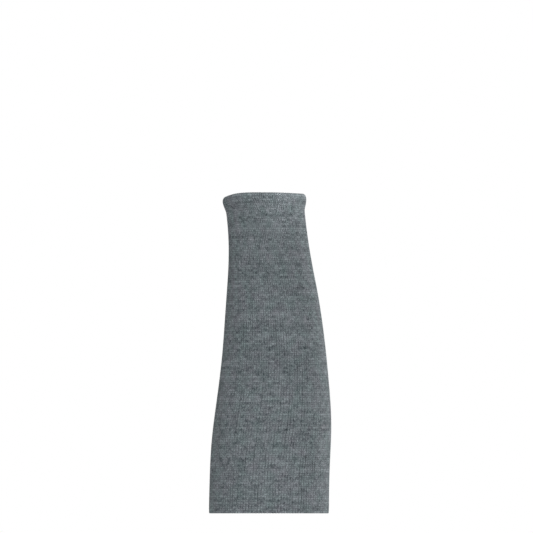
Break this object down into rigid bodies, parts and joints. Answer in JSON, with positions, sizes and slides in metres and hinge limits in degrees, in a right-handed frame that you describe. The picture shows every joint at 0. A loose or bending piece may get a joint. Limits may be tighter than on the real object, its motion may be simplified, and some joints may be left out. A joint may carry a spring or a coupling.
{
  "type": "cut resistant sleeve",
  "caption": "Forearm-length tube of thick heather-grey knit in its worn shape, narrow at the wrist, with a turned-in hem at each open end.",
  "frame": {"origin": "middle of the arm opening, on the plane of its folded edge, where the forearm goes in", "axes": "+Z along the forearm from the arm opening to the wrist, -Y to the back of the hand, -X to the thumb"},
  "size_m": [0.1163, 0.0962, 0.3049],
  "materials": {
    "heather_knit": "matt heather jersey, the smooth face of the knit",
    "turned_knit": "matt heather jersey, turned in so that its smooth face meets the arm"
  },
  "bodies": {
    "root": {"sleeve_tube": "heather_knit", "wrist_hem": "turned_knit", "arm_hem": "turned_knit"}
  },
  "joints": []
}
